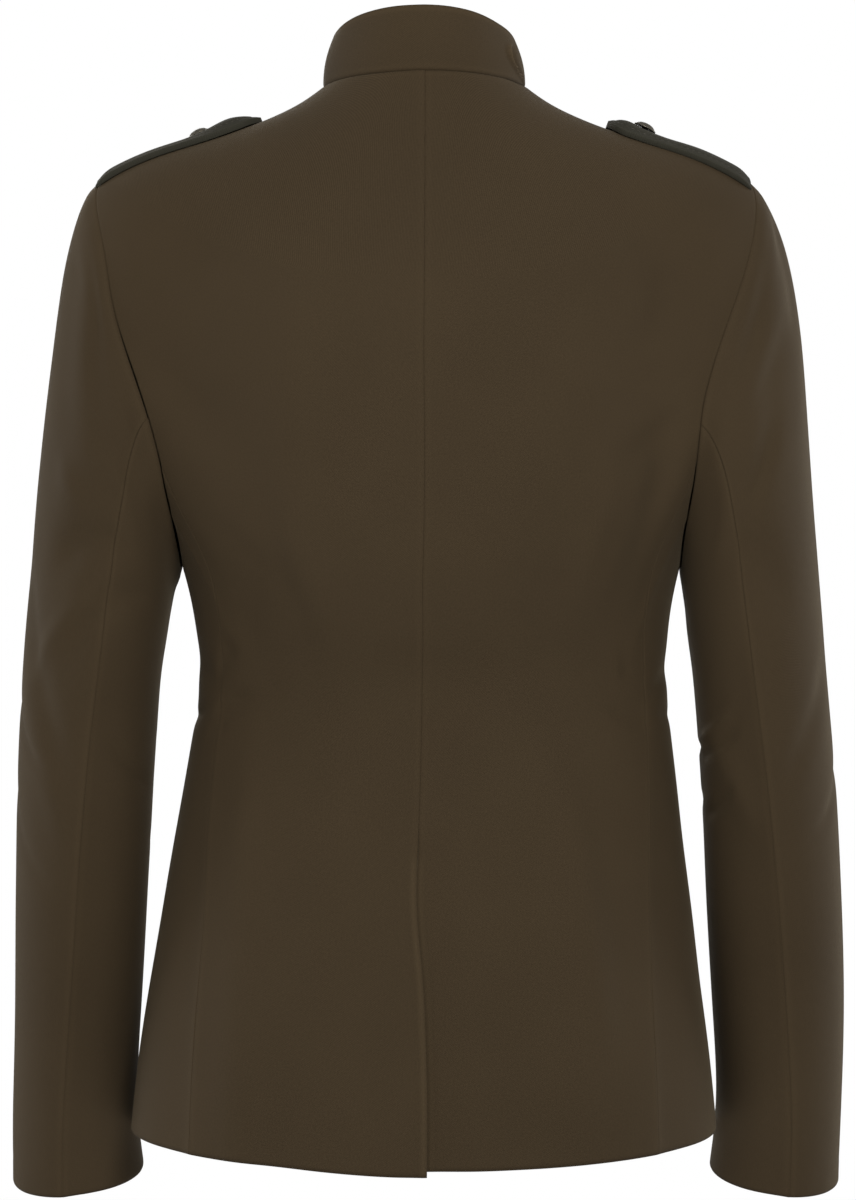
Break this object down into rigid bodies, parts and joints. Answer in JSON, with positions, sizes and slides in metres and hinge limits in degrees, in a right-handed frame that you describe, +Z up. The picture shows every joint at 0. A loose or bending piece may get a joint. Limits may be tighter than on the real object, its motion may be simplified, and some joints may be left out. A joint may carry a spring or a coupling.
{
  "type": "blazer",
  "caption": "Fitted women's blazer with a stand collar, shoulder straps, two-piece sleeves and a centre back vent, in the shape that it takes when worn.",
  "frame": {"origin": "midway between the two points where the shoulder seams reach the collar, which is where the wearer's shoulders hold the blazer up", "axes": "+Z up, the front faces -Y, and the wearer's left is +X"},
  "size_m": [0.503, 0.2523, 0.703],
  "materials": {
    "cloth": "dark olive brown wool-blend twill, matt",
    "strap": "the same twill in a darker grey green, matt",
    "button": "aged metal, satin"
  },
  "bodies": {
    "root": {"back_left": "cloth", "back_right": "cloth", "side_left": "cloth", "side_right": "cloth", "front_left": "cloth", "front_right": "cloth", "collar": "cloth", "sleeve_top_left": "cloth", "sleeve_top_right": "cloth", "sleeve_under_left": "cloth", "sleeve_under_right": "cloth", "epaulette_left": "strap", "epaulette_right": "strap", "epaulette_button_left": "button", "epaulette_button_right": "button", "front_button_1": "button", "front_button_2": "button", "front_button_3": "button", "front_button_4": "button", "front_button_5": "button"}
  },
  "joints": []
}
